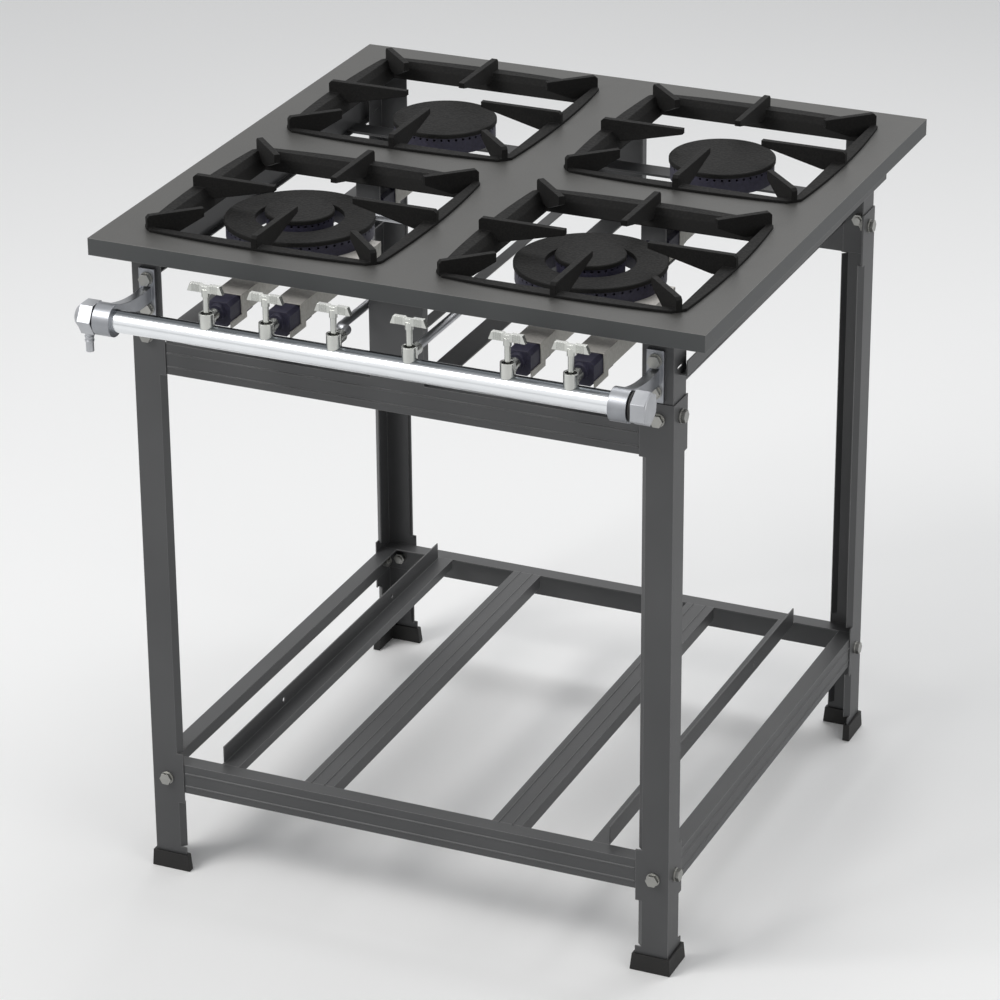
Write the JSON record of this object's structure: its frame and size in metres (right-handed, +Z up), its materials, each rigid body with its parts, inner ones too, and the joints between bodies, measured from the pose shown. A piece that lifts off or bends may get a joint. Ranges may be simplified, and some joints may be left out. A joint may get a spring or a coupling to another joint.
{
  "type": "industrial gas stove",
  "caption": "Free-standing open-frame gas stove with a sheet top, cast grates over ring burners, a front gas rail with wing valves and a slatted shelf.",
  "frame": {"origin": "on the floor, at the middle of the part's bounding box in plan", "axes": "+X to the right along the front, +Y from the front with the valves towards the back, +Z up"},
  "size_m": [0.73, 0.8066, 0.821],
  "materials": {
    "top_sheet": "satin dark grey paint",
    "frame_paint": "satin dark grey paint",
    "foot_plastic": "matt black",
    "galvanised": "galvanised sheet",
    "burner_enamel": "dark blue-black coated casting",
    "cast_iron": "rough black casting",
    "rail_tube": "polished tube",
    "cast_alloy": "cast, lightly blasted",
    "valve_metal": "satin nickel plate",
    "zinc": "zinc plated"
  },
  "bodies": {
    "stove_frame": {"table_top": "top_sheet", "side_panel_left": "frame_paint", "side_panel_right": "frame_paint", "post_front_left": "frame_paint", "post_front_right": "frame_paint", "post_rear_left": "frame_paint", "post_rear_right": "frame_paint", "upper_rail_front": "frame_paint", "upper_rail_rear": "frame_paint", "leg_front_left": "frame_paint", "leg_front_right": "frame_paint", "leg_rear_left": "frame_paint", "leg_rear_right": "frame_paint", "foot_front_left": "foot_plastic", "foot_front_right": "foot_plastic", "foot_rear_left": "foot_plastic", "foot_rear_right": "foot_plastic", "shelf_rail_front": "frame_paint", "shelf_rail_rear": "frame_paint", "shelf_rail_left": "frame_paint", "shelf_rail_right": "frame_paint", "slat_1": "frame_paint", "slat_2": "frame_paint", "slat_3": "frame_paint", "slat_4": "frame_paint", "hanger_left": "frame_paint", "hanger_right": "frame_paint", "under_bars": "frame_paint", "cover_front_left": "galvanised", "cover_front_right": "galvanised", "cover_rear_left": "galvanised", "cover_rear_right": "galvanised", "burner_front_left": "burner_enamel", "burner_front_right": "burner_enamel", "burner_rear_left": "burner_enamel", "burner_rear_right": "burner_enamel", "gas_rail": "rail_tube", "bracket_left": "cast_alloy", "bracket_right": "cast_alloy", "inlet_cap": "cast_alloy", "end_cap": "cast_alloy", "valve_bodies": "valve_metal", "feed_pipes": "cast_alloy", "bolts": "zinc"},
    "ring_cap_left_body": {"ring_cap_left": "cast_iron"},
    "ring_cap_right_body": {"ring_cap_right": "cast_iron"},
    "inner_cap_left_body": {"inner_cap_left": "cast_iron"},
    "inner_cap_right_body": {"inner_cap_right": "cast_iron"},
    "rear_cap_left_body": {"rear_cap_left": "cast_iron"},
    "rear_cap_right_body": {"rear_cap_right": "cast_iron"},
    "grate_front_left_body": {"grate_front_left": "cast_iron"},
    "grate_front_right_body": {"grate_front_right": "cast_iron"},
    "grate_rear_left_body": {"grate_rear_left": "cast_iron"},
    "grate_rear_right_body": {"grate_rear_right": "cast_iron"},
    "handle_1_body": {"handle_1": "valve_metal"},
    "handle_2_body": {"handle_2": "valve_metal"},
    "handle_3_body": {"handle_3": "valve_metal"},
    "handle_4_body": {"handle_4": "valve_metal"},
    "handle_5_body": {"handle_5": "valve_metal"},
    "handle_6_body": {"handle_6": "valve_metal"}
  },
  "joints": [
    {"name": "valve_1_turn", "type": "hinge", "parent": "stove_frame", "child": "handle_1_body", "pos_m": [-0.1895, -0.38369, 0.792], "axis": [0, 0, 1], "range_deg": [0, 90]},
    {"name": "valve_2_turn", "type": "hinge", "parent": "stove_frame", "child": "handle_2_body", "pos_m": [-0.1175, -0.38369, 0.792], "axis": [0, 0, 1], "range_deg": [0, 90]},
    {"name": "valve_3_turn", "type": "hinge", "parent": "stove_frame", "child": "handle_3_body", "pos_m": [-0.037, -0.38369, 0.792], "axis": [0, 0, 1], "range_deg": [0, 90]},
    {"name": "valve_4_turn", "type": "hinge", "parent": "stove_frame", "child": "handle_4_body", "pos_m": [0.052, -0.38369, 0.792], "axis": [0, 0, 1], "range_deg": [0, 90]},
    {"name": "valve_5_turn", "type": "hinge", "parent": "stove_frame", "child": "handle_5_body", "pos_m": [0.1655, -0.38369, 0.792], "axis": [0, 0, 1], "range_deg": [0, 90]},
    {"name": "valve_6_turn", "type": "hinge", "parent": "stove_frame", "child": "handle_6_body", "pos_m": [0.2375, -0.38369, 0.792], "axis": [0, 0, 1], "range_deg": [0, 90]},
    {"name": "ring_cap_left_lift", "type": "slide", "parent": "stove_frame", "child": "ring_cap_left_body", "axis": [0, 0, 1], "range_m": [0, 0.008]},
    {"name": "ring_cap_right_lift", "type": "slide", "parent": "stove_frame", "child": "ring_cap_right_body", "axis": [0, 0, 1], "range_m": [0, 0.008]},
    {"name": "inner_cap_left_lift", "type": "slide", "parent": "stove_frame", "child": "inner_cap_left_body", "axis": [0, 0, 1], "range_m": [0, 0.012]},
    {"name": "inner_cap_right_lift", "type": "slide", "parent": "stove_frame", "child": "inner_cap_right_body", "axis": [0, 0, 1], "range_m": [0, 0.012]},
    {"name": "rear_cap_left_lift", "type": "slide", "parent": "stove_frame", "child": "rear_cap_left_body", "axis": [0, 0, 1], "range_m": [0, 0.012]},
    {"name": "rear_cap_right_lift", "type": "slide", "parent": "stove_frame", "child": "rear_cap_right_body", "axis": [0, 0, 1], "range_m": [0, 0.012]},
    {"name": "grate_front_left_lift", "type": "slide", "parent": "stove_frame", "child": "grate_front_left_body", "axis": [0, 0, 1], "range_m": [0, 0.15]},
    {"name": "grate_front_right_lift", "type": "slide", "parent": "stove_frame", "child": "grate_front_right_body", "axis": [0, 0, 1], "range_m": [0, 0.15]},
    {"name": "grate_rear_left_lift", "type": "slide", "parent": "stove_frame", "child": "grate_rear_left_body", "axis": [0, 0, 1], "range_m": [0, 0.15]},
    {"name": "grate_rear_right_lift", "type": "slide", "parent": "stove_frame", "child": "grate_rear_right_body", "axis": [0, 0, 1], "range_m": [0, 0.15]}
  ]
}
